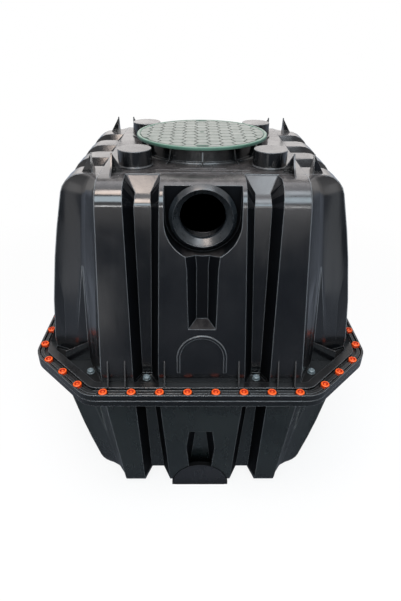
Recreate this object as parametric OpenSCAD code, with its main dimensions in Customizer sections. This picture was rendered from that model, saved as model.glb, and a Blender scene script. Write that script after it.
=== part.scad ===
// Two-piece plastic septic tank: an upper and a lower half shell, bolted together at an eight-sided
// flange. Origin at the middle of the base, +Z up, inlet on the -Y side, outlet on the +Y side.

/* [Half shells] */
// Height of one half shell, from the joint face to its deck
half_height = 679; // [660:1:700]
// Half width across the wall faces at the foot of a half shell
body_half = 551; // [545:1:555]
// How far the walls lean inwards between their foot and deck level
lean_in = 113; // [100:1:125]
// How far the side walls bow outwards between their foot and deck level
side_bow = 14; // [8:1:18]
// Thickness of walls, deck and floor
wall_t = 8; // [6:0.5:10]
// Radius of the shoulder between a wall and the deck
shoulder_r = 80; // [60:1:86]
// Height of the upright foot band above the flange
foot_h = 43; // [30:1:60]

/* [Ribs and grooves] */
// Half width of the deck, and outer edge of the outer ribs at deck level
deck_half = 322; // [315:1:326]
// How much wider the outer ribs stand at the foot than at deck level
rib_flare = 22; // [15:1:28]
// Inner edge of the outer ribs at the foot
rib_in_foot = 235; // [225:1:245]
// Inner edge of the outer ribs at deck level
rib_in_top = 241; // [230:1:250]
// Half width of the middle panel at the foot
panel_foot = 148; // [140:1:155]
// Half width of the middle panel at deck level
panel_top = 130; // [126:1:140]
// Half width of the third groove, in the middle of a side wall, at the foot
mid_foot = 38; // [32:1:44]
// Half width of the third groove at deck level
mid_top = 50; // [44:1:56]
// Depth of the grooves
groove_depth = 52; // [40:1:60]
// Slant of a groove's side over its depth
groove_slant = 27; // [20:1:30]
// Height of the ramp that joins a groove to the deck's edge
ramp_drop = 46; // [38:1:52]
// Share of the way from the deck's edge to the groove's floor that the ramp covers
ramp_share = 0.6; // [0.5:0.02:0.7]
// Height of the bend between a groove's floor and its ramp
bend_drop = 34; // [24:1:40]
// How far a ramp's sides stand in at the deck's edge
ramp_in = 6; // [3:1:8]
// Step that is left where a ramp meets the deck
ramp_lip = 2; // [1:0.5:4]

/* [Corners] */
// Height of the tip of the corner pleat above the flange
pleat_h = 368; // [300:1:420]
// Hollow of a corner, as a share of half its chord
corner_hollow = 0.27; // [0.2:0.01:0.35]
// Hollow of the pleat's valley at the foot, as a share of half the chord
valley_hollow = 0.34; // [0.3:0.01:0.4]

/* [Flange] */
// Width of the flange outside the foot of the walls
flange_w = 67; // [64:1:72]
// Thickness of one flange
flange_t = 23; // [20:1:28]
// Thickness of the gasket between the flanges
gasket_t = 2; // [1:0.5:3]
// Distance of the gasket's edge inside the flange edge
gasket_in = 6; // [3:1:10]
// Distance of the bolt line inside the flange edge
bolt_inset = 18; // [17:0.5:20]
// Half length of a straight row of bolts, as a share of its distance from the middle
row_share = 0.5542; // [0.53:0.002:0.57]
// Bolts along each straight side
side_bolts = 8; // [8:1:8]
// Bolts along each cut corner
corner_bolts = 3; // [3:1:3]
// How far the corner bolts stay inside the point where two straight bolt lines would meet
corner_cut = 150.5; // [140:0.5:160]
// Radius of the flange's corners in plan
flange_round = 90; // [80:1:100]
// Width of the lip outside the channel that holds the bolt heads
lip_w = 7; // [6:0.5:8]
// Width of the channel
channel_w = 31; // [29:1:33]
// Depth of the channel
channel_d = 12; // [8:1:14]
// Width of the rib along the bolt line in the channel
line_rib_w = 11; // [8:1:13]
// Depth of that rib's top below the flange's face
line_rib_drop = 3; // [2:0.5:5]
// Gap in the rib at a bolt head
pocket_w = 40; // [36:1:44]
// Width of the lip that is left beside a bolt head
pocket_lip = 2; // [1.5:0.5:3]
// Width of the ridge inside the channel
ridge_w = 30; // [28:1:34]
// Depth of the floor inside the ridge, in the grooves and corners
gutter_d = 12; // [6:1:14]
// Thickness of the upright gussets
gusset_t = 4; // [3:0.5:6]
// Places of the gussets along half a wall
gusset_at = [126, 260, 318];
// Height of a corner gusset at its front and at its back
corner_gusset_front = 29; // [22:1:36]
corner_gusset_back = 72; // [60:1:84]

/* [Pipe connections] */
// Depth of the pipe axis below the deck
pipe_drop = 107; // [104:1:116]
// Radius of the bore that takes the pipe
bore_r = 80; // [70:1:82]
// Gap between the pipe and the socket behind the rubber ring
socket_gap = 2; // [1:0.5:3]
// Wall of the pipe socket
socket_t = 8; // [6:0.5:10]
// Outer radius of the rubber ring at the mouth
ring_r = 103; // [98:1:106]
// Length of the rubber ring along the pipe
ring_l = 16; // [12:1:24]
// Chamfer of the ring's outer edge
ring_edge = 3; // [1:0.5:5]
// Width and depth of the ring's funnel mouth
ring_mouth = 8; // [4:0.5:10]
// Length of the socket inside the tank
socket_in = 60; // [40:1:90]
// Radius of the recess round the pipe
recess_r = 118; // [114:1:122]
// How far the recess's back lies inside the wall face's line at deck level
recess_in = 30; // [26:1:34]
// Width of the keyway at its top
key_top_w = 103; // [90:1:110]
// Width of the keyway at its bottom
key_foot_w = 90; // [80:1:100]
// Height of the keyway's bottom above the flange
key_foot_h = 202; // [190:1:210]
// Depth of the keyway
key_depth = 38; // [28:1:46]
// Width of the keyway's floor along its straight run
key_floor_w = 38; // [30:1:46]
// Width of the keyway's floor where it meets the recess
key_floor_top_w = 58; // [50:1:66]
// Height above the flange where the floor starts to widen
key_widen_h = 400; // [380:1:420]
// Half width of the arch raised on the panel below
arch_r = 83.5; // [75:0.5:90]
// Height of the arch's top above the flange
arch_h = 179; // [165:1:190]
// Width and height of the arch's bead
arch_w = 10; // [6:1:12]
arch_t = 3; // [2:0.5:4]

/* [Deck fittings] */
// Radius of the cover, as a share of the deck's half width
cover_share = 0.733; // [0.71:0.002:0.75]
// How far the cover overhangs the access neck
cover_over = 30; // [24:1:36]
// Wall of the access neck
neck_t = 10; // [8:1:14]
// Height of the access neck above the deck
neck_h = 50; // [40:1:60]
// Width and height of the collar round the neck's foot
collar_w = 14; // [10:1:18]
collar_h = 5; // [3:0.5:8]
// Thickness of the cover at its rim
cover_t = 10.5; // [8:0.5:14]
// Width of the cover's rim, and depth of the field inside it
cover_rim = 9; // [6:1:14]
cover_sink = 2; // [1:0.5:3]
// Thickness and depth of the ring that centres the cover in the neck
spigot_t = 8; // [5:0.5:10]
spigot_gap = 3; // [2:0.5:5]
// Ribs round the neck
neck_gussets = 12; // [12:1:12]
// How far the feet of these ribs stand out beyond the cover, and their top's distance below it
neck_rib_out = 8; // [4:1:12]
neck_rib_drop = 6; // [4:1:10]
// Radius of a closed pipe stub
stub_r = 55; // [50:1:60]
// Height of a closed pipe stub above the deck
stub_h = 54; // [45:1:60]
// Clearance between a stub and the cover in plan
stub_gap = 23; // [18:1:27]
// Wall of a stub, and width and height of its base ring
stub_t = 5; // [3:0.5:7]
stub_ring = 5; // [3:0.5:7]
// Height of the strap guide fins above the deck
fin_h = 58; // [45:1:70]
// Distance of an inner fin from the stub beside it
fin_gap = 10; // [8:1:12]
// Distance between the two fins, where the strap runs
strap_w = 58; // [52:1:62]
// Thickness of a fin
fin_t = 5; // [4:0.5:8]
// Distance of a fin's tip beyond the stub along the strap
fin_ahead = 23; // [19:1:27]
// Lengths of a fin's foot behind its tip, in front of it at the outer and the inner fin, and across
fin_back = 31; // [26:1:40]
fin_short = 14; // [10:1:18]
fin_long = 58; // [48:1:64]
fin_foot = 36; // [30:1:44]

/* [Lower half] */
// Radius of the half-round pads at the foot of the lower half
pad_r = 123; // [118:1:126]
// How far a pad stands out of the wall face's line at the base
pad_out = 2; // [1:0.5:5]
// Width of the lower keyway
low_key_w = 90; // [80:1:100]
// Height of the lower keyway's end, from the flange
low_key_h = 237; // [220:1:250]

/* [Hidden] */

arc_steps = 5;
eps = 0.01;
reach = 400;

// Height of the deck above the flange's outer face, and the level of the joint above the base
deck_h = half_height - flange_t;
top_half = body_half - lean_in;
rib_out_foot = deck_half + rib_flare;
joint_z = half_height + gasket_t / 2;
upper_z = joint_z + gasket_t / 2 + flange_t;
lower_z = joint_z - gasket_t / 2 - flange_t;

// Flange edge, bolt lines and pitch, ridge and gutter
flange_half = body_half + flange_w;
bolt_line = flange_half - bolt_inset;
corner_line = bolt_line * sqrt(2) - corner_cut;
bolt_pitch = 2 * row_share * bolt_line / (side_bolts - 1);
ridge_in = lip_w + channel_w;
gutter_in = ridge_in + ridge_w;
recess_y = top_half - recess_in;
pipe_h = deck_h - pipe_drop;

// Radii of the cover and the neck, and the place of a stub
cover_r = cover_share * deck_half;
neck_r = cover_r - cover_over;
stub_at = (cover_r + stub_gap + stub_r) / sqrt(2);

function mix(a, b, t) = a + (b - a) * t;
function share(h) = max(0, (h - foot_h) / (deck_h - foot_h));

// Bow of the wall that is being drawn: nothing at the end walls, side_bow at the side walls
$bow = 0;
function wall_at(h) = mix(body_half, top_half, share(h)) + 4 * $bow * share(h) * (1 - share(h));

// Levels below the shoulder, the wall's lean where the shoulder arc begins, and the arc's centre
shoulder_z = deck_h - shoulder_r;
levels = [0, foot_h, (foot_h + pleat_h) / 2, pleat_h, (pleat_h + shoulder_z) / 2];
last = len(levels) + arc_steps;
function lean_a() = atan((lean_in + 4 * $bow * (2 * share(shoulder_z) - 1)) / (deck_h - foot_h));
function shoulder_y() = wall_at(shoulder_z + shoulder_r * sin(lean_a())) - shoulder_r * cos(lean_a());

// Slope of the wall's face just above the foot band
function foot_slope() = (body_half - wall_at(levels[2])) / (levels[2] - foot_h);

function rib_out(h) = mix(rib_out_foot, deck_half, share(h));
function rib_in(h) = mix(rib_in_foot, rib_in_top, share(h));
function panel(h) = mix(panel_foot, panel_top, share(h));
function mid(h) = mix(mid_foot, mid_top, share(h));

// Profile of a rib or panel face: [distance from the middle, height] at each level, on the surface
// that lies inset by t from the outside
function rib_profile(t) = concat(
    [for (h = levels) [wall_at(h) - t, h]],
    [for (i = [0:arc_steps])
        let (a = mix(lean_a(), 90, i / arc_steps), r = shoulder_r - t)
        [shoulder_y() + r * cos(a), shoulder_z + r * sin(a)]]
);

// Profile of a groove's floor: up the wall, round a bend and along a ramp to the deck's edge
bend_h = deck_h - ramp_drop - bend_drop;
function floor_at(h) = [wall_at(h) - groove_depth, h];
function bend_low() = floor_at(bend_h);
function bend() = floor_at(bend_h + bend_drop * 0.4);
function bend_high() = [mix(deck_half, bend()[0], ramp_share), deck_h - ramp_drop];
function curve(a, b, c, t) = mix(mix(a, b, t), mix(b, c, t), t);
function slope(a, b, c, t) = mix(b - a, c - b, t);
function inset(p, d, t) = p - t * [d[1], -d[0]] / norm(d);
function floor_profile(t) = concat(
    [for (h = levels) floor_at(h) - [t, 0]],
    [for (i = [0:arc_steps])
        let (k = i / arc_steps)
        inset(curve(bend_low(), bend(), bend_high(), k), slope(bend_low(), bend(), bend_high(), k), t)]
);

// Columns of a wall, from its middle outwards: panel edge, groove floor, outer rib. Each is
// [x, y, z] at every level; t is the inset of the surface, and the last level is the deck's edge.
side_shift = 0.6;
edge_shift = 0.7;
function rib_column(x_of, shift, t) = concat(
    [for (p = rib_profile(t)) [x_of(p[1]) + shift * t, p[0], p[1]]],
    [[x_of(deck_h), deck_half, deck_h - t]]
);
function floor_share(j) = mix(1, 1.15, max(0, j - len(levels)) / arc_steps);
function floor_column(x_of, sign, shift, t) = concat(
    [for (j = [0:last])
        let (p = floor_profile(t)[j])
        [x_of(p[1]) + sign * groove_slant * floor_share(j) + shift * t, p[0], p[1]]],
    [[x_of(deck_h) + sign * ramp_in, deck_half, deck_h - ramp_lip - t]]
);
function half_columns(t) = [
    rib_column(function (h) panel(h), -side_shift, t),
    floor_column(function (h) panel(h), 1, -side_shift, t),
    floor_column(function (h) rib_in(h), -1, side_shift, t),
    rib_column(function (h) rib_in(h), side_shift, t),
    rib_column(function (h) rib_out(h), -edge_shift, t)
];
function mid_columns(t) = [
    floor_column(function (h) mid(h), -1, side_shift, t),
    rib_column(function (h) mid(h), side_shift, t)
];
function flip_x(column) = [for (p = column) [-p[0], p[1], p[2]]];
function both(h) = concat([for (i = [len(h) - 1:-1:0]) flip_x(h[i])], h);
function end_columns(t) = both(half_columns(t));
function side_columns(t) = let ($bow = side_bow) both(concat(mid_columns(t), half_columns(t)));

// Columns of a corner, along the chord from an end wall's rib edge to a side wall's. Each row
// is [place along the chord, hollow above the pleat, hollow at the foot], as shares of half the chord.
function corner_rows() =
    let (c = corner_hollow, v = valley_hollow,
         half = [[-1, 0, 0], [-0.7, c * 0.51, c * 0.46], [-0.13, c * 0.98, v * 0.6],
                 [-0.06, c, v * 0.64]])
    concat(half, [[0, c, v]], [for (i = [3:-1:0]) [-half[i][0], half[i][1], half[i][2]]]);
function pleat_at(h) = min(1, max(0, (pleat_h - h) / (pleat_h - foot_h)));
function spread(s, k) = abs(s) > 0.02 && abs(s) < 0.2 ? mix(s, sign(s) * (abs(s) > 0.1 ? 0.4 : 0.3), k) : s;
function rib_edge(t) = [for (p = rib_profile(t)) [rib_out(p[1]) - edge_shift * t, p[0], p[1]]];
function corner_point(row, a, b, h) =
    let (k = pleat_at(h), s = (spread(row[0], k) + 1) / 2, d = mix(row[1], row[2], k) / 2)
    [mix(a[0], b[1], s - d), mix(a[1], b[0], s + d), mix(a[2], b[2], s)];
function corner_columns(t) =
    let (a = rib_edge(t), b = let ($bow = side_bow) rib_edge(t), h = rib_profile(0))
    [for (row = corner_rows()) [for (j = [0:last]) corner_point(row, a[j], b[j], h[j][1])]];

function flat(lists) = [for (list = lists) each list];

// Closed skin between an outer and an inner grid of points, both given as columns. With a fan, every
// column is drawn together at the top into one outer and one inner point.
module skin(outer, inner, fan = []) {
    nc = len(outer);
    nl = len(outer[0]);
    points = concat(flat(outer), flat(inner), fan);
    a = 2 * nc * nl;
    b = a + 1;
    e = nl - 1;
    function o(i, j) = i * nl + j;
    function n(i, j) = nc * nl + i * nl + j;
    function top(i) = fan == []
        ? [[o(i, e), o(i + 1, e), n(i + 1, e)], [o(i, e), n(i + 1, e), n(i, e)]]
        : [[o(i, e), o(i + 1, e), a], [n(i + 1, e), n(i, e), b]];
    function end(i, j) = [[o(i, j), n(i, j + 1), o(i, j + 1)], [o(i, j), n(i, j), n(i, j + 1)]];
    ends = concat([for (j = [0:nl - 2]) each turned(end(0, j))],
        [for (j = [0:nl - 2]) each end(nc - 1, j)],
        fan == [] ? [] : [[o(0, e), a, b], [o(0, e), b, n(0, e)],
            [o(nc - 1, e), b, a], [o(nc - 1, e), n(nc - 1, e), b]]);
    faces = concat(
        [for (i = [0:nc - 2], j = [0:nl - 2]) each [
            [o(i, j), o(i + 1, j + 1), o(i, j + 1)], [o(i, j), o(i + 1, j), o(i + 1, j + 1)],
            [n(i, j), n(i, j + 1), n(i + 1, j + 1)], [n(i, j), n(i + 1, j + 1), n(i + 1, j)]]],
        [for (i = [0:nc - 2]) each concat(
            [[o(i, 0), n(i + 1, 0), o(i + 1, 0)], [o(i, 0), n(i, 0), n(i + 1, 0)]], top(i))],
        ends
    );
    polyhedron(points, faces, convexity = 8);
}
function turned(faces) = [for (f = faces) [f[0], f[2], f[1]]];

// Both kinds of wall and a corner, standing on the flange's outer face, outside towards +Y and +X+Y
module end_wall() skin(end_columns(0), end_columns(wall_t));
module side_wall() skin(side_columns(0), side_columns(wall_t));
module corner() skin(corner_columns(0), corner_columns(wall_t),
    [[deck_half, deck_half, deck_h], [deck_half, deck_half, deck_h - wall_t]]);

// Everything behind the outside of a panel, over a width of 2 w
module behind_panel(w) {
    inner = deck_half - recess_r / 2;
    rotate([90, 0, 90]) translate([0, 0, -w]) linear_extrude(2 * w)
        polygon(concat(rib_profile(0), [[deck_half, deck_h], [inner, deck_h], [inner, 0]]));
}

// Round recess and keyway of a pipe wall, grown by t for the lining
module recess_shape(t) {
    back = recess_y - t;
    top = pipe_h - recess_r / 2;
    mid_w = mix(key_foot_w, key_top_w, (key_widen_h - key_foot_h) / (top - key_foot_h));
    translate([0, back, pipe_h]) rotate([-90, 0, 0]) cylinder(r = recess_r + t, h = reach, $fn = 96);
    translate([-recess_r - t, back, pipe_h]) cube([2 * (recess_r + t), reach, reach]);
    channel_shape([key_foot_h, key_widen_h], [key_foot_w, mid_w], [key_floor_w, key_floor_w], t, true);
    channel_shape([key_widen_h - eps, top], [mid_w, key_top_w], [key_floor_w, key_floor_top_w], t, false);
}

// Channel with slanting sides in a panel, grown by t for the lining. Heights, widths at the panel's
// face and widths of the floor are each [lower, upper]; a ramp may close its lower end.
module channel_shape(h, w, floor_w, t, ramp) {
    depth = key_depth + t;
    out = key_depth * 0.8;
    up = ramp ? key_depth / 2 - t : 0;
    down = ramp ? out / 2 + t : 0;
    inner = [for (f = floor_w) f / 2 + t];
    outer = [for (i = [0, 1]) w[i] / 2 + t + (w[i] - floor_w[i]) / 2 / key_depth * out];
    y = [for (i = [0, 1]) wall_at(h[i])];
    points = [
        [-inner[0], y[0] - depth, h[0] + up], [inner[0], y[0] - depth, h[0] + up],
        [inner[1], y[1] - depth, h[1]], [-inner[1], y[1] - depth, h[1]],
        [-outer[0], y[0] + out, h[0] - down], [outer[0], y[0] + out, h[0] - down],
        [outer[1], y[1] + out, h[1]], [-outer[1], y[1] + out, h[1]]];
    hull() polyhedron(points,
        [[0, 1, 2, 3], [4, 7, 6, 5], [0, 4, 5, 1], [2, 6, 7, 3], [1, 5, 6, 2], [0, 3, 7, 4]]);
}

// Bead in the form of an arch on the panel, standing on the crease above the foot
module arch() {
    lean = atan(foot_slope());
    side = (arch_h - foot_h) / cos(lean) - arch_r;
    translate([0, body_half, foot_h]) rotate([lean, 0, 0]) rotate([90, 0, 0])
        translate([0, 0, -arch_t]) linear_extrude(arch_t + 1) difference() {
            arch_outline(arch_r, side);
            arch_outline(arch_r - arch_w, side);
        }
}
module arch_outline(r, side) {
    intersection() {
        union() {
            translate([0, side]) circle(r = r, $fn = 64);
            translate([-r, 0]) square([2 * r, side]);
        }
        translate([-r, 0]) square([2 * r, side + r]);
    }
}

module pipe_wall() {
    difference() {
        union() {
            end_wall();
            arch();
            intersection() {
                recess_shape(wall_t);
                behind_panel(recess_r + wall_t);
            }
        }
        recess_shape(0);
        translate([0, recess_y - reach / 2, pipe_h]) rotate([-90, 0, 0])
            cylinder(r = bore_r + socket_gap + socket_t, h = reach, $fn = 96);
    }
}

// Lower end wall: a channel runs down its panel to the foot pad and widens on its way
module low_channel(t) channel_shape([low_key_h, deck_h - pad_r], [low_key_w, low_key_w],
    [key_floor_w, low_key_w], t, true);
module low_wall() {
    difference() {
        union() {
            end_wall();
            intersection() {
                low_channel(wall_t);
                behind_panel(recess_r);
            }
        }
        low_channel(0);
    }
}

// Half-round pad that carries the wall's face down to the base
module pad() {
    start = deck_half + shoulder_r / 4;
    difference() {
        translate([0, start, deck_h]) rotate([-90, 0, 0])
            cylinder(r = pad_r, h = top_half + pad_out - start, $fn = 96);
        behind_panel(pad_r + wall_t);
        translate([-pad_r - 1, 0, deck_h]) cube([2 * pad_r + 2, reach * 2, pad_r + 1]);
    }
}

// Pipe socket and rubber ring, with the pipe's axis along Y
module socket() {
    translate([0, recess_y - wall_t - socket_in, pipe_h]) rotate([-90, 0, 0]) difference() {
        cylinder(r = bore_r + socket_gap + socket_t, h = socket_in + wall_t, $fn = 96);
        translate([0, 0, -1])
            cylinder(r = bore_r + socket_gap, h = socket_in + wall_t + 2, $fn = 96);
    }
}
module ring() {
    translate([0, recess_y, pipe_h]) rotate([-90, 0, 0]) rotate_extrude($fn = 96)
        polygon([[bore_r, 0], [ring_r, 0], [ring_r, ring_l - ring_edge], [ring_r - ring_edge, ring_l],
            [bore_r + ring_mouth, ring_l], [bore_r, ring_l - ring_mouth]]);
}

// Turn from the +Y wall to each wall, and mirroring of the +X+Y corner to each corner
BACK = 0;
RIGHT = 270;
FRONT = 180;
LEFT = 90;
module upper(turn) translate([0, 0, upper_z]) rotate(turn) children();
module lower(turn) translate([0, 0, lower_z]) mirror([0, 0, 1]) rotate(turn) children();
module at_corner(sx, sy) scale([sx, sy, 1]) children();

module deck_plate(hole) {
    translate([0, 0, deck_h - wall_t]) difference() {
        translate([-deck_half, -deck_half, 0]) cube([2 * deck_half, 2 * deck_half, wall_t]);
        if (hole > 0) translate([0, 0, -1]) cylinder(r = hole, h = wall_t + 2, $fn = 96);
    }
}

module neck_shape() {
    translate([0, 0, deck_h]) rotate_extrude($fn = 96) polygon([
        [neck_r - neck_t, 0], [neck_r + collar_w, 0], [neck_r + collar_w - 2, collar_h], [neck_r, collar_h],
        [neck_r, neck_h], [neck_r - neck_t, neck_h]]);
}

// Thin ribs from the collar up to the cover's overhang
module neck_rib_shape() {
    foot = cover_over + neck_rib_out;
    top = neck_h - neck_rib_drop;
    for (i = [0:neck_gussets - 1]) rotate(i * 360 / neck_gussets)
        translate([neck_r - eps, gusset_t / 2, deck_h]) rotate([90, 0, 0]) linear_extrude(gusset_t)
            polygon([[0, collar_h], [collar_w, collar_h], [collar_w, 0], [foot, 0], [foot * 0.5, top * 0.25],
                [foot * 0.2, top], [0, top]]);
}

// Cover with a raised rim, and the ring below it that centres it in the neck
module cover_shape() {
    r = neck_r - neck_t - spigot_gap;
    translate([0, 0, deck_h + neck_h]) rotate_extrude($fn = 128) polygon([
        [0, 0], [r - spigot_t, 0], [r - spigot_t, -spigot_t], [r, -spigot_t], [r, 0], [cover_r, 0],
        [cover_r, cover_t - cover_sink], [cover_r - cover_sink, cover_t], [cover_r - cover_rim, cover_t],
        [cover_r - cover_rim - cover_sink, cover_t - cover_sink], [0, cover_t - cover_sink]]);
}

// Closed pipe stub on a thin base ring
module stub() {
    translate([stub_at, stub_at, deck_h]) rotate_extrude($fn = 64) polygon([
        [stub_r - stub_t, 0], [stub_r + stub_ring, 0], [stub_r + stub_ring, stub_ring - 1],
        [stub_r, stub_ring], [stub_r, stub_h - 1], [stub_r - 1, stub_h], [0, stub_h], [0, stub_h - stub_t],
        [stub_r - stub_t, stub_h - stub_t]]);
}

// Pair of pointed fins that guide a strap, one each side of it. Each has a plate along the strap and
// a plate that braces it.
module fins() {
    inner = stub_at + stub_r + fin_gap;
    for (f = [[inner, -1, fin_long], [inner + strap_w, 1, fin_short]])
        translate([f[0], stub_at + stub_r + fin_ahead, deck_h]) {
            translate([f[1] > 0 ? 0 : -fin_t, 0, 0]) rotate([90, 0, 90]) linear_extrude(fin_t)
                polygon([[-fin_back, 0], [f[2], 0], [f[2] * 0.4, fin_h * 0.4], [0, fin_h],
                    [-fin_back * 0.25, fin_h * 0.45]]);
            translate([0, fin_t / 2, 0]) rotate([90, 0, 0]) linear_extrude(fin_t)
                polygon([[f[1] * (fin_t - eps), 0], [f[1] * fin_foot, 0],
                    [f[1] * (fin_t - eps), fin_h * 0.9]]);
        }
}

// Eight-sided outline with rounded corners: half width a, cut corners at distance c
function eight(a, c) = let (k = c * sqrt(2) - a)
    [[a, -k], [a, k], [k, a], [-k, a], [-a, k], [-a, -k], [-k, -a], [k, -a]];
function rounded(pts, r, steps) = [for (i = [0:len(pts) - 1])
    let (n = len(pts), p = pts[i], q = pts[(i + n - 1) % n], s = pts[(i + 1) % n],
         u = (p - q) / norm(p - q), v = (s - p) / norm(s - p),
         turn = acos(u * v), c = p - u * r * tan(turn / 2) + r * [-u[1], u[0]],
         a0 = atan2(-u[0], u[1]))
    for (j = [0:steps]) let (a = a0 + turn * j / steps) c + r * [cos(a), sin(a)]];
function flange_outline(inset) =
    let (edge = corner_line + bolt_inset)
    rounded(eight(flange_half - inset, edge - inset), max(flange_round - inset, flange_round / 8), 4);

// Plan of the body's inside at the foot, all the way round
function turn_point(p, k) = k == 0 ? [p[0], p[1]] : turn_point([p[1], -p[0]], k - 1);
function footprint(t) = let (corner = corner_columns(t))
    [for (k = [0:3]) each concat(
        [for (c = k % 2 == 0 ? end_columns(t) : side_columns(t)) turn_point(c[0], k)],
        [for (i = [1:len(corner) - 2]) turn_point(corner[i][0], k)])];

function bolt_places() =
    let (span = (side_bolts - 1) / 2, cut = (corner_bolts - 1) / 2)
    [for (k = [0:3]) each concat(
        [for (i = [-span:span]) [turn_point([i * bolt_pitch, bolt_line], k), -90 * k]],
        [for (i = [-cut:cut]) [turn_point((corner_line * [1, 1] + i * bolt_pitch * [1, -1]) / sqrt(2), k),
            -90 * k - 45]])];

// One flange with its outer face up at z = 0. Inside its ridge the floor is lower, round the walls.
module flange_plate() {
    difference() {
        translate([0, 0, -flange_t]) linear_extrude(flange_t) difference() {
            polygon(flange_outline(0));
            polygon(footprint(wall_t));
        }
        translate([0, 0, -gutter_d]) linear_extrude(gutter_d + 1) difference() {
            polygon(flange_outline(gutter_in));
            polygon(footprint(0));
        }
    }
}
module flange_band(outer, inner) {
    difference() {
        polygon(flange_outline(outer));
        polygon(flange_outline(inner));
    }
}

// Flange with the channel for the bolt heads: a rib runs along it and leaves a pocket at every bolt
module bolt_flange() {
    difference() {
        flange_plate();
        translate([0, 0, -channel_d]) linear_extrude(channel_d + 1) {
            flange_band(lip_w, ridge_in);
            for (b = bolt_places()) translate(b[0]) circle(r = bolt_inset - pocket_lip, $fn = 32);
        }
    }
    translate([0, 0, -channel_d - eps]) linear_extrude(channel_d + eps - line_rib_drop) difference() {
        flange_band(bolt_inset - line_rib_w / 2, bolt_inset + line_rib_w / 2);
        for (b = bolt_places()) translate(b[0]) rotate(b[1]) square([pocket_w, channel_w], center = true);
    }
}

// Upright gussets: six at the foot of each wall, and one in each corner beside a side wall
module wall_gussets() {
    for (turn = [BACK, FRONT]) rotate(turn) gusset_row();
    for (turn = [LEFT, RIGHT]) rotate(turn) gusset_row($bow = side_bow);
    for (sx = [0, 1], sy = [0, 1]) mirror([sx, 0, 0]) mirror([0, sy, 0]) difference() {
        corner_gusset();
        corner();
        flange_plate();
    }
}
module gusset_row() {
    top = foot_h * 2;
    face = body_half - foot_slope() * (top - foot_h);
    ridge = flange_half - ridge_in;
    for (x = gusset_at, s = [-1, 1])
        translate([s * x - gusset_t / 2, 0, 0]) rotate([90, 0, 90]) linear_extrude(gusset_t)
            polygon([[body_half, 0], [ridge, 0], [ridge, gusset_t], [face + 2, top],
                [face, top], [body_half, foot_h]]);
}
module corner_gusset() {
    valley = mix(rib_out_foot, body_half, (1 - valley_hollow) / 2);
    y = valley + gusset_t;
    root = valley - wall_t / 2;
    front = (corner_line + bolt_inset - gutter_in) * sqrt(2) - y - gusset_t;
    translate([0, y + gusset_t / 2, 0]) rotate([90, 0, 0]) linear_extrude(gusset_t)
        polygon([[root, -gutter_d], [front, -gutter_d], [front, corner_gusset_front],
            [root, corner_gusset_back]]);
}

module upper_front_wall() color("#1c1d1f") upper(FRONT) pipe_wall();
module upper_back_wall() color("#1c1d1f") upper(BACK) pipe_wall();
module upper_left_wall() color("#1c1d1f") upper(LEFT) side_wall();
module upper_right_wall() color("#1c1d1f") upper(RIGHT) side_wall();
module upper_corner_fl() color("#202123") upper(BACK) at_corner(-1, -1) corner();
module upper_corner_fr() color("#202123") upper(BACK) at_corner(1, -1) corner();
module upper_corner_bl() color("#202123") upper(BACK) at_corner(-1, 1) corner();
module upper_corner_br() color("#202123") upper(BACK) at_corner(1, 1) corner();
module deck() color("#2a2a2c") upper(0) deck_plate(neck_r - neck_t);
module neck() color("#1c1d1f") upper(0) neck_shape();
module neck_ribs() color("#1c1d1f") upper(0) neck_rib_shape();
module cover() color("#8fa79b") upper(0) cover_shape();
module stub_fl() color("#2a2a2c") upper(FRONT) stub();
module stub_fr() color("#2a2a2c") upper(RIGHT) stub();
module stub_bl() color("#2a2a2c") upper(LEFT) stub();
module stub_br() color("#2a2a2c") upper(BACK) stub();
module fins_br() color("#1c1d1f") upper(0) fins();
module fins_bl() color("#1c1d1f") mirror([1, 0, 0]) upper(0) fins();
module fins_fr() color("#1c1d1f") mirror([0, 1, 0]) upper(0) fins();
module fins_fl() color("#1c1d1f") mirror([0, 1, 0]) mirror([1, 0, 0]) upper(0) fins();
module inlet_socket() color("#1c1d1f") upper(FRONT) socket();
module outlet_socket() color("#1c1d1f") upper(BACK) socket();
module inlet_ring() color("#111213") upper(FRONT) ring();
module outlet_ring() color("#111213") upper(BACK) ring();
module upper_flange() color("#232426") upper(0) bolt_flange();
module upper_gussets() color("#232426") upper(0) wall_gussets();
module gasket() {
    color("#111213") translate([0, 0, joint_z - gasket_t / 2]) linear_extrude(gasket_t) difference() {
        polygon(flange_outline(gasket_in));
        polygon(footprint(wall_t));
    }
}
module lower_flange() color("#232426") lower(0) flange_plate();
module lower_gussets() color("#232426") lower(0) wall_gussets();
module lower_front_wall() color("#26292a") lower(FRONT) low_wall();
module lower_back_wall() color("#26292a") lower(BACK) low_wall();
module lower_left_wall() color("#26292a") lower(LEFT) side_wall();
module lower_right_wall() color("#26292a") lower(RIGHT) side_wall();
module lower_corner_fl() color("#26292a") lower(BACK) at_corner(-1, -1) corner();
module lower_corner_fr() color("#26292a") lower(BACK) at_corner(1, -1) corner();
module lower_corner_bl() color("#26292a") lower(BACK) at_corner(-1, 1) corner();
module lower_corner_br() color("#26292a") lower(BACK) at_corner(1, 1) corner();
module floor_plate() color("#26292a") lower(0) deck_plate(0);
module front_pad() color("#232627") lower(FRONT) pad();
module back_pad() color("#232627") lower(BACK) pad();

upper_front_wall();
upper_back_wall();
upper_left_wall();
upper_right_wall();
upper_corner_fl();
upper_corner_fr();
upper_corner_bl();
upper_corner_br();
deck();
neck();
neck_ribs();
cover();
stub_fl();
stub_fr();
stub_bl();
stub_br();
fins_fl();
fins_fr();
fins_bl();
fins_br();
inlet_socket();
outlet_socket();
inlet_ring();
outlet_ring();
upper_flange();
upper_gussets();
gasket();
lower_flange();
lower_gussets();
lower_front_wall();
lower_back_wall();
lower_left_wall();
lower_right_wall();
lower_corner_fl();
lower_corner_fr();
lower_corner_bl();
lower_corner_br();
floor_plate();  // floor
front_pad();
back_pad();
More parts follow.
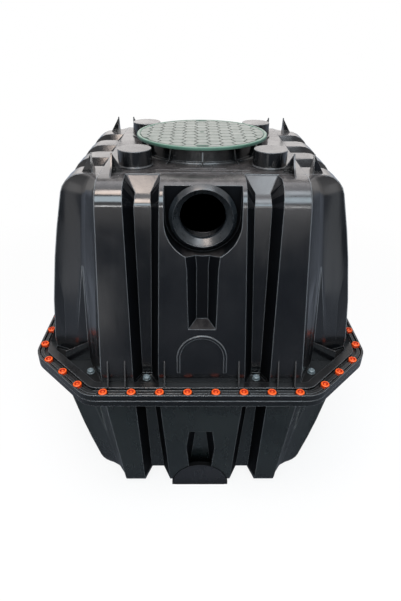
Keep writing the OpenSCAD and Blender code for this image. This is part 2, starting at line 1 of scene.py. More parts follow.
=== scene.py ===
"""Looks of the two-piece septic tank: plastic finishes, small fittings, studio and camera."""
import math
import random

import bmesh
import bpy
from mathutils import Matrix, Vector


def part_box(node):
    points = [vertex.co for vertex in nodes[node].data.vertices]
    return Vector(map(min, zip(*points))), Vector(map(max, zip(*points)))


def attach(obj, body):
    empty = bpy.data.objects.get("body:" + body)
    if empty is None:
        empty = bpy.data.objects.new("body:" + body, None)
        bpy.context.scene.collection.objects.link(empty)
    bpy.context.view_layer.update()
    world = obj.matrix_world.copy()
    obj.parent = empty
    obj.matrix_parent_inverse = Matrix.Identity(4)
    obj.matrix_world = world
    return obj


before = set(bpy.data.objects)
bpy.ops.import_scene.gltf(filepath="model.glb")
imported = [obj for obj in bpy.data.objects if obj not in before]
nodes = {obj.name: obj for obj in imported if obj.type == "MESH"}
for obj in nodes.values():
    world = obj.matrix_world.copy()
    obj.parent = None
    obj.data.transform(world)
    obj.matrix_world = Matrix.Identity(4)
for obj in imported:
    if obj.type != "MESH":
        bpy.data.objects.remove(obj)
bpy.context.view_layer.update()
random.seed(7)

# Levels and distances that the CAD gives, in metres
FLANGE_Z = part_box("upper_flange")[1][2]
FLANGE_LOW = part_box("lower_flange")[0][2]
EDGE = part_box("upper_flange")[1][0]
DECK_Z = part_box("deck")[1][2]
COVER_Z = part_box("cover")[1][2]
COVER_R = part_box("cover")[1][0]
RING_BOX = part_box("inlet_ring")
PIPE_Z = (RING_BOX[0][2] + RING_BOX[1][2]) / 2
RING_FACE = -RING_BOX[0][1]
PAD_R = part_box("front_pad")[1][0]
PAD_FRONT = -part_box("front_pad")[0][1]

# Half width of the shell at the flange and at the base
BODY, LOW_HALF = 0.551, 0.438
# Height of the shell's upright foot at the flange, and how far its panels lean in per metre above that
FOOT, LEAN = 0.043, 0.1846


# ---------------------------------------------------------------- shader nodes
def map_range(tree, value, low, high, at_low, at_high):
    """Maps the range from low to high onto the range from at_low to at_high."""
    node = tree.nodes.new("ShaderNodeMapRange")
    numbers = {"From Min": low, "From Max": high, "To Min": at_low, "To Max": at_high}
    for key, number in numbers.items():
        node.inputs[key].default_value = number
    tree.links.new(value, node.inputs["Value"])
    return node.outputs[0]


def mix_shaders(tree, share, first, second):
    node = tree.nodes.new("ShaderNodeMixShader")
    for source, target in zip((share, first, second), node.inputs):
        tree.links.new(source, target)
    return node.outputs[0]


class Nodes:
    """Small helper that adds nodes to a new material and links them."""

    def __init__(self, name):
        self.mat = bpy.data.materials.new(name)
        self.mat.use_nodes = True
        self.tree = self.mat.node_tree
        self.bsdf = self.tree.nodes["Principled BSDF"]
        self.coord = self.add("ShaderNodeTexCoord").outputs["Object"]

    def add(self, kind, **values):
        node = self.tree.nodes.new(kind)
        for key, value in values.items():
            if hasattr(node, key):
                setattr(node, key, value)
            else:
                node.inputs[key].default_value = value
        return node

    def link(self, a, b):
        self.tree.links.new(a, b)

    def noise(self, scale, detail, rough, stretch=(1, 1, 1)):
        place = self.add("ShaderNodeMapping", Scale=stretch)
        self.link(self.coord, place.inputs["Vector"])
        tex = self.add("ShaderNodeTexNoise", Scale=scale, Detail=detail, Roughness=rough)
        self.link(place.outputs[0], tex.inputs["Vector"])
        return tex.outputs["Fac"]

    def ramp(self, fac, at_low, at_high, low=0.35, high=0.65):
        return map_range(self.tree, fac, low, high, at_low, at_high)

    def mix(self, fac, a, b):
        """Colour that goes from a to b, each an output or a constant, as the factor goes from 0 to 1."""
        node = self.add("ShaderNodeMix", data_type="RGBA")
        for key, value in (("Factor", fac), ("A", a), ("B", b)):
            target = [i for i in node.inputs if i.name == key and i.enabled][0]
            if hasattr(value, "is_linked"):
                self.link(value, target)
            else:
                target.default_value = (*value, 1)
        return [o for o in node.outputs if o.enabled][0]

    def combine(self, a, b, kind="MULTIPLY"):
        node = self.add("ShaderNodeMath", operation=kind)
        for value, target in zip((a, b), node.inputs):
            if hasattr(value, "is_linked"):
                self.link(value, target)
            else:
                target.default_value = value
        return node.outputs[0]

    def rounding(self, radius, keen):
        """Normal that rounds every edge by a radius, and a mask that is 1 along sharp edges."""
        soft = self.add("ShaderNodeBevel", samples=6, Radius=radius).outputs["Normal"]
        plain = self.add("ShaderNodeNewGeometry").outputs["Normal"]
        dot = self.add("ShaderNodeVectorMath", operation="DOT_PRODUCT")
        self.link(soft, dot.inputs[0])
        self.link(plain, dot.inputs[1])
        return soft, self.ramp(dot.outputs["Value"], 1.0, 0.0, *keen)

    def bump(self, heights, base=None):
        """Bump from (height output, strength, distance), one after the other, over a base normal."""
        last = base
        for height, strength, distance in heights:
            node = self.add("ShaderNodeBump", Strength=strength, Distance=distance)
            self.link(height, node.inputs["Height"])
            if last:
                self.link(last, node.inputs["Normal"])
            last = node.outputs["Normal"]
        self.link(last, self.bsdf.inputs["Normal"])

    def painted_shade_factor(self, reach):
        """1 on open faces, falling in grooves and under overhangs; it sets where shade is painted into the
        colour.
        """
        node = self.add("ShaderNodeAmbientOcclusion", samples=6, Distance=reach)
        return self.ramp(node.outputs["AO"], 0.12, 1.0, 0.30, 0.85)

    def upward(self):
        """1 on faces that look up, 0 on walls."""
        geo = self.add("ShaderNodeNewGeometry")
        part = self.add("ShaderNodeSeparateXYZ")
        self.link(geo.outputs["Normal"], part.inputs[0])
        return self.ramp(part.outputs[2], 0.0, 1.0, 0.8, 0.99)

    def finish(self, colour, rough, spec):
        self.link(colour, self.bsdf.inputs["Base Color"])
        self.link(rough, self.bsdf.inputs["Roughness"])
        self.bsdf.inputs["Specular IOR Level"].default_value = spec
        return self.mat


# ---------------------------------------------------------------- materials
# Painted shade: colour painted into closed grooves, and how far the shader looks for what closes them
PAINTED_SHADE, PAINTED_SHADE_REACH = (0.0004, 0.0004, 0.0005), 0.14
# Ranges of the cosine between rounded and plain normal in which an edge gets its painted highlight: for square
# edges, and for the flat folds of the corners
SQUARE, FOLDED = (0.86, 0.99), (0.991, 0.998)


def moulded_plastic(name, base, worn, rough=0.17, spec=0.55, dust=0.34, dust_colour=(0.20, 0.18, 0.175),
                    edge=0.0042, painted_edge_colour=(0.14, 0.15, 0.16), keen=SQUARE):
    """Moulded polypropylene: cloudy gloss, faint flow lines, fine grain, painted highlights in the edge colour
    on rounded edges, dust on what looks up, and painted shade in closed grooves."""
    n = Nodes(name)
    soft, painted_edge_mask = n.rounding(edge, keen)
    cloud = n.noise(3.5, 4, 0.55)
    flow = n.noise(9.0, 5, 0.6, (3.0, 3.0, 0.35))
    scuff = n.noise(38.0, 6, 0.7)
    grain = n.noise(850.0, 2, 0.5)
    waves = n.noise(2.2, 3, 0.5, (1, 1, 0.6))
    colour = n.mix(n.ramp(cloud, 0.0, 1.0), base, worn)
    specks = n.combine(n.upward(), n.ramp(scuff, 0.25, 1.0, 0.35, 0.75))
    dusty = n.mix(n.combine(specks, dust), colour, dust_colour)
    # edges take the painted edge colour: a painted highlight, or a painted shadow line where that colour is
    # dark
    with_painted_edges = n.mix(n.combine(painted_edge_mask, 0.85), dusty, painted_edge_colour)
    # closed grooves and overhangs get painted shade in their colour
    with_painted_shade = n.mix(n.painted_shade_factor(PAINTED_SHADE_REACH), PAINTED_SHADE, with_painted_edges)
    gloss = n.combine(n.ramp(cloud, rough - 0.05, rough + 0.07), n.ramp(flow, 0.88, 1.15))
    dulled = n.combine(gloss, n.combine(specks, 0.10), "ADD")
    n.bump([(waves, 0.10, 0.02), (flow, 0.05, 0.004), (grain, 0.05, 0.0004)], soft)
    return n.finish(with_painted_shade, dulled, spec)


def painted(name, base, dark, rough, spec=0.5, scale=60.0):
    """Even colour with fine darker spots."""
    n = Nodes(name)
    spots = n.noise(scale, 4, 0.6)
    n.bump([(n.noise(700.0, 2, 0.5), 0.08, 0.0004)])
    return n.finish(n.mix(n.ramp(spots, 0.0, 1.0), base, dark), n.ramp(spots, rough - 0.06, rough + 0.08), spec)


# Pairs of colours: fresh and worn
BLACK = (0.0042, 0.0047, 0.0058), (0.008, 0.0085, 0.0098)
GREEN_BLACK = (0.006, 0.0085, 0.009), (0.0105, 0.014, 0.0142)

SHELL = moulded_plastic("black_polypropylene", *BLACK)
# brighter painted highlights along the corners' folds
CREASED = moulded_plastic("black_polypropylene_creased", *BLACK, painted_edge_colour=(0.19, 0.20, 0.21), keen=FOLDED)
CREASED_LOWER = moulded_plastic("dark_polypropylene_creased", *GREEN_BLACK, rough=0.26,
                                painted_edge_colour=(0.16, 0.17, 0.16), keen=FOLDED)
# dark edge colour paints shadow lines along the edges of the pads' faces
FACED = moulded_plastic("purple_black_polypropylene", (0.0075, 0.0078, 0.0098), (0.012, 0.0125, 0.015),
                        rough=0.26, painted_edge_colour=(0.001, 0.001, 0.0012))
THIN = moulded_plastic("black_polypropylene_thin", *BLACK, edge=0.001)
LOWER = moulded_plastic("dark_polypropylene", *GREEN_BLACK, rough=0.26)
FLANGE = moulded_plastic("flange_polypropylene", (0.0022, 0.0028, 0.0035), (0.005, 0.006, 0.007),
                         rough=0.22, dust=0.06)
# Painted shade: dark dull material for the sides of grooves and the recess under the pipe
HOLLOW_SHADE = moulded_plastic("hollow_shade_polypropylene", (0.002, 0.0023, 0.003), (0.0035, 0.004, 0.005),
                       rough=0.5, spec=0.03)
RUBBER = painted("black_rubber", (0.006, 0.0065, 0.008), (0.011, 0.012, 0.014), 0.3, 0.45)
GREEN = moulded_plastic("green_cover", (0.040, 0.100, 0.072), (0.055, 0.125, 0.092), rough=0.4, spec=0.4,
                        dust=0.75, dust_colour=(0.33, 0.335, 0.30), painted_edge_colour=(0.12, 0.24, 0.18))
TREAD = moulded_plastic("cover_tread_dusty", (0.080, 0.106, 0.090), (0.10, 0.122, 0.106), rough=0.4, spec=0.5,
                        dust=0.6, dust_colour=(0.34, 0.335, 0.31), edge=0.001, painted_edge_colour=(0.2, 0.25, 0.22))
# Darker green between the tread's pads and in the slots: partly dirt, partly painted shade
GROOVE = moulded_plastic("cover_grooves_dirt_and_shade", (0.02, 0.055, 0.036), (0.03, 0.075, 0.05), rough=0.5, spec=0.25,
                         dust=0.1, dust_colour=(0.12, 0.13, 0.11))
# Near black painted shade: the bolts' pockets and the shadow line round the pads' faces
SHADOW_BLACK = painted("shadow_black", (0.0012, 0.0012, 0.0015), (0.002, 0.002, 0.0022), 0.7, 0.15)
# Lighter grey copy of the black plastic: painted highlight on the deck's mould lines
HIGHLIGHT_LINES = moulded_plastic("highlight_line_polypropylene", (0.03, 0.031, 0.033), (0.05, 0.05, 0.052), rough=0.2, edge=0.0006)
RING = painted("grey_black_rubber", (0.0075, 0.0095, 0.0115), (0.011, 0.0135, 0.016), 0.30, 0.65)
ORANGE = painted("orange_plastic", (0.74, 0.10, 0.013), (0.67, 0.08, 0.009), 0.40, 0.4, 120.0)
# Darker orange copies of the orange plastic: painted shade in the bolts' recesses and on the heads' sides
SOCKET_PAINTED_SHADE = painted("orange_recess_painted_shade", (0.38, 0.018, 0.002), (0.30, 0.012, 0.001), 0.5, 0.3, 120.0)
HEAD_SIDE_PAINTED_SHADE = painted("orange_side_painted_shade", (0.42, 0.038, 0.005), (0.33, 0.026, 0.004), 0.5, 0.3, 120.0)
PALE = painted("pale_screw", (0.13, 0.16, 0.17), (0.08, 0.10, 0.11), 0.32, 0.5, 200.0)


# ---------------------------------------------------------------- CAD nodes
def dress(o, material):
    """Gives a CAD node its finish, with flat faces, smooth curves and crisp edges, by modifiers only."""
    o.data.materials.clear()
    o.data.materials.append(material)
    for a in [a for a in o.data.attributes if a.name == "custom_normal"]:
        o.data.attributes.remove(a)
    o.data.shade_smooth()
    o.modifiers.new("weld", "WELD").merge_threshold = 0.00005
    flat = o.modifiers.new("flat", "DECIMATE")
    flat.decimate_type = "DISSOLVE"
    flat.angle_limit = math.radians(0.6)
    o.modifiers.new("edges", "EDGE_SPLIT").split_angle = math.radians(27)
    o.modifiers.new("normals", "WEIGHTED_NORMAL").keep_sharp = True


def crease(o, low, high):
    """Marks the steep fold lines of a corner's pleat as sharp, between two levels."""
    least_rise, steep = 0.08, 0.85
    mesh = o.data
    flags = mesh.attributes.get("sharp_edge") or mesh.attributes.new("sharp_edge", "BOOLEAN", "EDGE")
    for e in mesh.edges:
        a, b = (o.matrix_world @ mesh.vertices[i].co for i in e.vertices)
        rise = abs(a.z - b.z)
        fold = rise > least_rise and rise > steep * (a - b).length
        if fold and min(a.z, b.z) > low and max(a.z, b.z) < high:
            flags.data[e.index].value = True


def shade_hollows(o, low, high, mouth=0.0):
    """Paints shade, with a dull dark material, into the sides of a wall's grooves between two levels, and into
    all of the recess and channel under the pipe, which lie within the half width called mouth."""
    row_height, reach, deep, below_panel, sideways = 0.004, 0.13, 0.006, 0.004, 0.3
    o.data.materials.append(HOLLOW_SHADE)
    across, out = (0, 1) if "front" in o.name or "back" in o.name else (1, 0)
    points = [o.matrix_world @ v.co for v in o.data.vertices]
    rows = {}
    for p in points:
        rows.setdefault(round(p.z / row_height), []).append((p[across], abs(p[out])))

    def hollow(p):
        """How far a point lies behind the foremost point near it on its own level."""
        row = rows[round(p.z / row_height)]
        return max(d for place, d in row if abs(place - p[across]) < reach) - abs(p[out])

    for face in o.data.polygons:
        corners = [points[i] for i in face.vertices]
        middle = sum(corners, Vector()) / len(corners)
        depth = sum(hollow(p) for p in corners) / len(corners)
        side = depth > deep and abs(face.normal[across]) > sideways
        panel = BODY - LEAN * max(0.0, middle.z - FLANGE_Z - FOOT)
        channel = abs(middle[across]) < mouth and panel - abs(middle[out]) > below_panel
        if low < middle.z < high and (side or channel):
            face.material_index = 1


def finish_of(name):
    """Finish of a CAD node, by what its name says."""
    if name == "cover":
        return GREEN
    if name in ("inlet_ring", "outlet_ring"):
        return RING
    if name == "gasket":
        return RUBBER
    if "gussets" in name or "fins" in name or "ribs" in name:
        return THIN
    if "corner" in name:
        return CREASED if "upper" in name else CREASED_LOWER
    if "flange" in name:
        return FLANGE
    return LOWER if "lower" in name or name in ("floor", "front_pad", "back_pad") else SHELL


# Levels between which the folds of the corners and the grooves of the walls lie
UPPER_FOLDS = FLANGE_Z - 0.03, FLANGE_Z + 0.4
LOWER_FOLDS = 0.2, FLANGE_LOW + 0.03
UPPER_GROOVES = FLANGE_Z + 0.01, PIPE_Z + 0.02
LOWER_GROOVES = 0.02, FLANGE_LOW - 0.01
# The same for the grooves and the recess of an upper end wall, and half the recess's width
END_GROOVES = FLANGE_Z + 0.01, DECK_Z - 0.03
MOUTH = 0.1185

for name, node in nodes.items():
    if "corner" in name:
        crease(node, *(UPPER_FOLDS if "upper" in name else LOWER_FOLDS))
    dress(node, finish_of(name))
    if name in ("upper_front_wall", "upper_back_wall"):
        shade_hollows(node, *END_GROOVES, MOUTH)
    elif name in ("upper_left_wall", "upper_right_wall"):
        shade_hollows(node, *UPPER_GROOVES)
    elif name.endswith("_wall"):
        shade_hollows(node, *LOWER_GROOVES)


# ---------------------------------------------------------------- helpers for small pieces
def piece(name, bm, materials, smooth=True, bevel=0.0):
    """Turns a bmesh into a piece of the scene that rides on the body."""
    mesh = bpy.data.meshes.new(name)
    bmesh.ops.recalc_face_normals(bm, faces=bm.faces)
    bm.to_mesh(mesh)
    bm.free()
    o = bpy.data.objects.new(name, mesh)
    bpy.context.scene.collection.objects.link(o)
    for m in materials:
        mesh.materials.append(m)
    if smooth:
        mesh.shade_smooth()
    if bevel:
        b = o.modifiers.new("edges", "BEVEL")
        b.width = bevel
        b.segments = 2
        b.limit_method = "ANGLE"
        b.angle_limit = math.radians(35)
    if smooth:
        o.modifiers.new("normals", "WEIGHTED_NORMAL").keep_sharp = True
    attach(o, "root")


def loft(bm, rings, close_ends=True, material=0):
    """Skins a list of rings of points, all with the same number of points."""
    rows = [[bm.verts.new(p) for p in ring] for ring in rings]
    n = len(rows[0])
    for a, b in zip(rows, rows[1:]):
        for i in range(n):
            bm.faces.new((a[i], a[(i + 1) % n], b[(i + 1) % n], b[i])).material_index = material
    if close_ends:
        bm.faces.new(rows[0][::-1]).material_index = material
        bm.faces.new(rows[-1]).material_index = material


def plate(bm, points, material=0):
    bm.faces.new([bm.verts.new(p) for p in points]).material_index = material


def circle_points(r, z, count):
    angles = [2 * math.pi * i / count for i in range(count)]
    return [Vector((r * math.cos(a), r * math.sin(a), z)) for a in angles]


def turned(bm, profile, matrix, count=24, close_ends=True, material=0):
    """Skins a profile of (radius, height) round the matrix's own upright axis."""
    rings = [[matrix @ p for p in circle_points(r, z, count)] for r, z in profile]
    loft(bm, rings, close_ends, material)


def upright(place, lift, turn=0.0):
    """Matrix that sets a piece at a place, at a level and turned about its upright axis."""
    return Matrix.Translation(place + Vector((0, 0, lift))) @ Matrix.Rotation(turn, 4, "Z")


def quarter_turns(points):
    """Repeats (x, y, angle) on all four sides, as places and turns."""
    out = []
    for k in range(4):
        m = Matrix.Rotation(-k * math.pi / 2, 4, "Z")
        out += [(m @ Vector((x, y, 0)), a - k * math.pi / 2) for x, y, a in points]
    return out


# ---------------------------------------------------------------- bolts, nuts and screws
# Bolt places: eight along each straight side and three across each cut corner
PITCH, LINE, CORNER = 0.095, EDGE - 0.018, 0.698
ROOT2 = math.sqrt(2)
SIDE_BOLTS = [((i - 3.5) * PITCH, LINE, 0.0) for i in range(8)]
CORNER_BOLTS = [((CORNER + i * PITCH) / ROOT2, (CORNER - i * PITCH) / ROOT2, -math.pi / 4) for i in (-1, 0, 1)]
BOLTS = quarter_turns(SIDE_BOLTS + CORNER_BOLTS)

# Profiles as (radius, height above the floor of the bolt's pocket)
HEAD_R, HEAD_H, POCKET = 0.0148, 0.0152, 0.012
WASHER = (0.0175, 0.0), (0.0175, 0.0018), (0.0170, 0.0026)
HEAD = (HEAD_R, 0.0024), (HEAD_R, HEAD_H - 0.0024), (HEAD_R * 0.86, HEAD_H)
RECESS = (0.0092, HEAD_H), (0.0084, HEAD_H - 0.0036)
PIN = (0.0048, HEAD_H - 0.0042), (0.0044, HEAD_H - 0.0016)
NUT = (0.0125, 0), (0.0125, -0.0045), (0.0112, -0.0056)
SCREW_PLATE = (0.0140, 0.0), (0.0140, 0.0022), (0.0120, 0.003)
SCREW = ((0.0120, 0.0028), (0.0120, 0.009), (0.0100, 0.0122),
         (0.0048, 0.0134), (0.0032, 0.0117), (0.0030, 0.0087))
# Clear distance that keeps a foot from lying in the plane of the face below it
LIFT = 0.0003
FINE_BEVEL = 0.0006


def bolt_heads():
    """Round heads with a recess and a hexagon pin in it, each on a black washer in its pocket; the washer's
    black is painted shade for the pocket, and the recess and the head's side are darker orange as painted
    shade.
    """
    recess, washer, head_side = 1, 2, 3
    bm = bmesh.new()
    for place, turn in BOLTS:
        m = upright(place, FLANGE_Z - POCKET + LIFT, turn + random.uniform(-0.5, 0.5))
        turned(bm, WASHER, m, material=washer)
        turned(bm, HEAD[:2], m, close_ends=False, material=head_side)
        turned(bm, HEAD[1:], m, close_ends=False)
        turned(bm, (HEAD[2], RECESS[0]), m, close_ends=False)
        turned(bm, RECESS, m, close_ends=False, material=recess)
        plate(bm, [m @ p for p in circle_points(*RECESS[1], 24)], recess)
        turned(bm, PIN, m, 6)
    bmesh.ops.remove_doubles(bm, verts=bm.verts, dist=1e-6)
    piece("flange_bolts", bm, [ORANGE, SOCKET_PAINTED_SHADE, SHADOW_BLACK, HEAD_SIDE_PAINTED_SHADE], bevel=FINE_BEVEL)


def nuts():
    bm = bmesh.new()
    for place, turn in BOLTS:
        turned(bm, NUT, upright(place, FLANGE_LOW - LIFT, turn), 6)
    piece("flange_nuts", bm, [RUBBER], bevel=FINE_BEVEL)


def screws():
    """Pale screws that stand in the grooves and corners inside the flange's ridge."""
    spots = []
    for sx in (-1, 1):
        spots += [(sx * 0.193, 0.518, 0.0), (sx * 0.396, 0.484, 0.0)]
    bm = bmesh.new()
    for place, turn in quarter_turns(spots):
        m = upright(place, FLANGE_Z - 0.0118, turn + random.uniform(0, 3))
        turned(bm, SCREW_PLATE, m)
        turned(bm, SCREW, m)
    piece("shell_screws", bm, [PALE])


# ---------------------------------------------------------------- faces of the foot pads
PAD_TOP = 0.170


def lower_face(z):
    """Distance of the lower end panel's leaning face, or of the pad's front, from the middle."""
    return max(PAD_FRONT, LOW_HALF + (BODY - LOW_HALF) * z / (FLANGE_LOW - FOOT))


def pad_outline(inset=0.0):
    """Half-round outline of a pad's face in x and z, with cut lower corners."""
    start, span, steps, corner, foot = 12, 156, 26, 0.014, 0.0008
    a, b, low = PAD_R - inset, PAD_TOP - inset, foot + inset
    angles = [math.radians(start + span * i / steps) for i in range(steps + 1)]
    arch = [(a * math.cos(t), b * math.sin(t)) for t in angles]
    return arch + [(-a, low + corner), (-a + corner, low), (a - corner, low), (a, low + corner)]


def pad_face(name, sign):
    """Half-round face of a pad, let into the lower end panel, with a dark line around it: a near black rim and
    dark edges, painted as the shadow of the gap round the face.
    """
    proud, deep, rim = 0.0012, 0.016, 0.003
    bm = bmesh.new()
    rings = [[Vector((sign * x, sign * (lower_face(z) + out), z)) for x, z in pad_outline(inset)]
             for out, inset in ((-deep, 0.0), (proud, 0.0), (proud, rim))]
    loft(bm, rings[:2], close_ends=False, material=1)
    loft(bm, rings[1:], close_ends=False, material=1)
    for ring in (rings[0], rings[2]):
        plate(bm, ring)
    bmesh.ops.remove_doubles(bm, verts=bm.verts, dist=1e-6)
    piece(name, bm, [FACED, SHADOW_BLACK], smooth=False)


pad_face("front_pad_face", -1)
pad_face("back_pad_face", 1)
bolt_heads()
nuts()
screws()


# ---------------------------------------------------------------- cover
def cover_floor():
    """Thin disc that shows between the tread's pads, a little darker than they are: partly dirt, partly painted
    shade in the gaps.
    """
    r, z = COVER_R - 0.0115, COVER_Z - 0.0020
    bm = bmesh.new()
    turned(bm, ((r, z - 0.0004), (r, z + 0.0001)), Matrix(), 96)
    piece("cover_field", bm, [GROOVE], smooth=False)


def hex_tread():
    """Honeycomb of low pads over the cover's field, cut off at the rim."""
    side, gap, height = 0.028, 0.0034, 0.0019
    limit, foot = COVER_R - 0.0135, COVER_Z - 0.0021
    least_area, least_step, sparing = 4e-5, 1e-4, 0.004
    root3 = math.sqrt(3)
    r = side - gap / root3
    bm = bmesh.new()
    cols = int(limit / (1.5 * side)) + 2
    rows = int(limit / (root3 * side)) + 2
    for i in range(-cols, cols + 1):
        for j in range(-rows, rows + 1):
            cx = 1.5 * side * i
            cy = root3 * side * (j + (0.5 if i % 2 else 0.0))
            pts = []
            for k in range(6):
                a, b = (Vector((cx + r * math.cos(n * math.pi / 3), cy + r * math.sin(n * math.pi / 3), 0))
                        for n in (k, k + 1))
                pts += [a.lerp(b, t / 4) for t in range(4)]
            if min(p.length for p in pts) > limit - sparing:
                continue
            pts = [p if p.length <= limit else p * (limit / p.length) for p in pts]
            clean = [p for q, p in zip([pts[-1]] + pts, pts) if (p - q).length > least_step]
            area = sum(clean[k - 1].cross(clean[k]).z for k in range(len(clean)))
            if len(clean) > 2 and area >= least_area:
                loft(bm, [[p + Vector((0, 0, z)) for p in clean] for z in (foot, foot + height)])
    piece("cover_tread", bm, [TREAD], bevel=FINE_BEVEL)


def lift_slots():
    """Two key slots at the cover's edge, front and back, and a small boss in the middle."""
    foot = COVER_Z - 0.0022
    bm = bmesh.new()
    for sign in (-1, 1):
        for w, d, h in ((0.020, 0.010, 0.0021), (0.014, 0.0055, 0.00215)):
            y = sign * (COVER_R - 0.026)
            loft(bm, [[Vector((sx * w, y + sy * d, z)) for sx, sy in ((-1, -1), (1, -1), (1, 1), (-1, 1))]
                      for z in (foot, foot + h)])
    turned(bm, ((0.009, foot), (0.009, foot + 0.00212)), Matrix())
    piece("cover_lift_slots", bm, [GROOVE], smooth=False)


cover_floor()
hex_tread()
lift_slots()


# ---------------------------------------------------------------- mould lines
def strip(bm, a, b, width, height):
    """Low half-round ridge on a level face from a to b."""
    along = (b - a).normalized()
    across = along.cross(Vector((0, 0, 1)))
    profile = [(-0.5, -0.5), (-0.42, 0.55), (0.0, 1.0), (0.42, 0.55), (0.5, -0.5)]
    loft(bm, [[p + across * (u * width) + Vector((0, 0, v * height)) for u, v in profile] for p in (a, b)])


def deck_lines():
    """Fine ridges that the mould's joints leave across the deck, in front of the neck and behind it."""
    bm = bmesh.new()
    for sign in (-1, 1):
        for y, half in ((0.262, 0.075), (0.280, 0.150), (0.308, 0.150)):
            strip(bm, Vector((-half, sign * y, DECK_Z)), Vector((half, sign * y, DECK_Z)), 0.0026, 0.0008)
    # the lines' pale grey is a painted highlight
    piece("deck_mould_lines", bm, [HIGHLIGHT_LINES])


deck_lines()


# ---------------------------------------------------------------- rubber lips on the pipe rings
# Radius and depth behind the ring's face: outer slope, ridge, funnel, then back inside the ring
LIP = ((0.1056, 0.0050), (0.0940, -0.0088), (0.0925, -0.0095), (0.0910, -0.0088), (0.0885, -0.0030),
       (0.0740, 0.0130), (0.0722, 0.0160), (0.0712, 0.0230), (0.0722, 0.0235), (0.0740, 0.0190),
       (0.0810, 0.0140), (0.0960, 0.0080), (0.1020, 0.0068), (0.1048, 0.0064))


def lip(name, turn):
    count, n = 96, len(LIP)
    m = Matrix.Rotation(turn, 4, "Z")
    bm = bmesh.new()
    rows = []
    for i in range(count):
        a = 2 * math.pi * i / count
        rows.append([bm.verts.new(m @ Vector((r * math.cos(a), d - RING_FACE, PIPE_Z + r * math.sin(a))))
                     for r, d in LIP])
    for a, b in zip(rows, rows[1:] + rows[:1]):
        for i in range(n):
            bm.faces.new((a[i], a[(i + 1) % n], b[(i + 1) % n], b[i]))
    piece(name, bm, [RING])


lip("inlet_lip", 0.0)
lip("outlet_lip", math.pi)


# ---------------------------------------------------------------- studio
def lamp(name, place, target, size, power, colour):
    data = bpy.data.lights.new(name, "AREA")
    data.shape = "RECTANGLE"
    data.size, data.size_y = size
    data.energy = power
    data.color = colour
    o = bpy.data.objects.new(name, data)
    bpy.context.scene.collection.objects.link(o)
    o.location = place
    o.rotation_euler = (Vector(target) - Vector(place)).to_track_quat("-Z", "Y").to_euler()


lamp("front_box", (0, -3.0, 3.4), (0, 0, 1.3), (3.6, 1.4), 135, (0.77, 0.91, 1.0))
lamp("front_line", (0, -3.4, 1.75), (0, 0, 1.2), (2.6, 0.12), 24, (1, 1, 1))
lamp("left_card", (-1.25, -3.4, 0.32), (-0.3, -0.5, 1.0), (0.8, 0.6), 2.0, (1.0, 0.98, 0.96))
lamp("roof_box", (-0.1, 0.2, 4.1), (-0.1, 0.19, 1.3), (3.0, 3.6), 80, (0.97, 0.96, 1.0))
lamp("warm_box", (-0.6, -1.5, 4.0), (-0.2, -0.45, 1.3), (0.9, 1.0), 46, (1.0, 0.84, 0.74))
lamp("cool_box", (0.65, -1.5, 4.0), (0.2, -0.45, 1.3), (1.1, 1.0), 26, (0.84, 0.93, 1.0))
lamp("back_box", (0, 4.2, 2.5), (0, 0, 1.3), (4.4, 1.5), 16, (1.0, 0.97, 0.96))
lamp("left_strip", (-2.8, -1.2, 1.05), (-0.4, -0.4, 0.9), (0.5, 2.1), 2.2, (1.0, 0.99, 0.98))
lamp("right_strip", (2.8, -1.2, 1.05), (0.4, -0.4, 0.9), (0.5, 2.1), 2.2, (0.95, 0.98, 1.0))


def make_world():
    """White to the camera, soft light on the tank, and a room that darkens upwards in its gloss."""
    world = bpy.data.worlds.new("studio")
    bpy.context.scene.world = world
    world.use_nodes = True
    t = world.node_tree
    t.nodes.clear()

    def background(colour, strength=1.0):
        node = t.nodes.new("ShaderNodeBackground")
        node.inputs["Color"].default_value = (*colour, 1)
        node.inputs["Strength"].default_value = strength
        return node

    path = t.nodes.new("ShaderNodeLightPath")
    coord = t.nodes.new("ShaderNodeTexCoord")
    part = t.nodes.new("ShaderNodeSeparateXYZ")
    t.links.new(coord.outputs["Generated"], part.inputs[0])
    soft = background((0.97, 0.98, 1.0), 0.16)
    gloss = background((1.0, 0.965, 0.95))
    t.links.new(map_range(t, part.outputs[2], 0.25, 0.95, 1.0, 0.3), gloss.inputs["Strength"])
    white = background((1, 1, 1))
    lit = mix_shaders(t, path.outputs["Is Glossy Ray"], soft.outputs[0], gloss.outputs[0])
    seen = mix_shaders(t, path.outputs["Is Camera Ray"], lit, white.outputs[0])
    t.links.new(seen, t.nodes.new("ShaderNodeOutputWorld").inputs["Surface"])


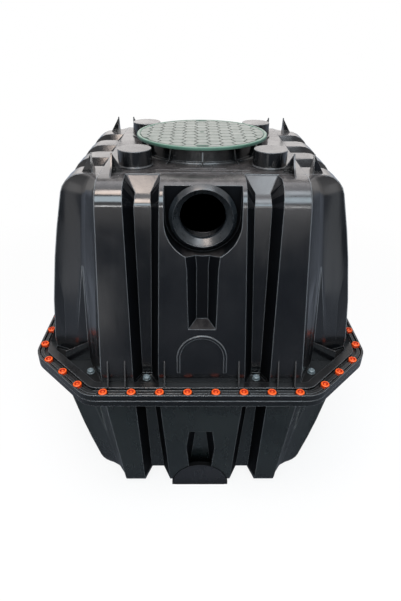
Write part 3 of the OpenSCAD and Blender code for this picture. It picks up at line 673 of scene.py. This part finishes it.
def floor_material():
    """Pale floor that fades to plain white away from the tank, and that glows for glossy rays as a painted
    reflection, dimmed in front and near the tank.
    """
    n = Nodes("studio_white")
    t = n.tree
    for key, value in (("Base Color", (0.86, 0.86, 0.86, 1)), ("Roughness", 0.9), ("Specular IOR Level", 0.1)):
        n.bsdf.inputs[key].default_value = value
    path = n.add("ShaderNodeLightPath")
    geo = n.add("ShaderNodeNewGeometry")
    far = n.add("ShaderNodeVectorMath", operation="LENGTH")
    n.link(geo.outputs["Position"], far.inputs[0])
    distance = far.outputs["Value"]
    glow = n.add("ShaderNodeEmission", Color=(1, 1, 1, 1), Strength=1.0)
    fade = map_range(t, distance, 0.9, 3.2, 0.86, 1.0)
    seen = mix_shaders(t, n.combine(path.outputs["Is Camera Ray"], fade), n.bsdf.outputs[0], glow.outputs[0])
    # what the glossy walls reflect: a painted reflection glowing from the floor, dim in front and brighter
    # towards the back, with painted shadow that darkens it near the tank
    dim = n.add("ShaderNodeEmission", Color=(0.82, 0.92, 1.1, 1))
    place = n.add("ShaderNodeSeparateXYZ")
    n.link(geo.outputs["Position"], place.inputs[0])
    backwards = map_range(t, place.outputs[1], -2.4, 0.2, 0.13, 0.62)
    painted_shadow_near_tank = map_range(t, distance, 0.8, 2.6, 0.3, 1.0)
    n.link(n.combine(backwards, painted_shadow_near_tank), dim.inputs["Strength"])
    gloss = mix_shaders(t, path.outputs["Is Glossy Ray"], seen, dim.outputs[0])
    n.link(gloss, t.nodes["Material Output"].inputs["Surface"])
    return n.mat


def make_floor():
    bm = bmesh.new()
    bmesh.ops.create_grid(bm, x_segments=1, y_segments=1, size=60)
    mesh = bpy.data.meshes.new("floor_plane")
    bm.to_mesh(mesh)
    bm.free()
    mesh.materials.append(floor_material())
    o = bpy.data.objects.new("studio_floor", mesh)
    bpy.context.scene.collection.objects.link(o)
    o.location = (0, 0, -0.0005)


def make_camera():
    """Camera with the photograph's own perspective: place in metres, turn, pitch and roll in degrees."""
    place = Vector((-0.0225, -1.7415, 1.775))
    turn, pitch, roll = (math.radians(a) for a in (0.764, 31.811, 0.582))
    ahead = Vector((math.sin(turn) * math.cos(pitch), math.cos(turn) * math.cos(pitch), -math.sin(pitch)))
    level = Vector((math.cos(turn), -math.sin(turn), 0))
    above = level.cross(ahead)
    right = level * math.cos(roll) + above * math.sin(roll)
    up = above * math.cos(roll) - level * math.sin(roll)
    data = bpy.data.cameras.new("camera")
    data.sensor_fit = "VERTICAL"
    data.sensor_height = 36.0
    data.lens = 27.31
    data.clip_end = 200
    o = bpy.data.objects.new("camera", data)
    bpy.context.scene.collection.objects.link(o)
    m = Matrix((right, up, -ahead)).transposed().to_4x4()
    m.translation = place
    o.matrix_world = m
    bpy.context.scene.camera = o


make_world()
make_floor()
make_camera()
bpy.context.scene.view_settings.view_transform = "Standard"
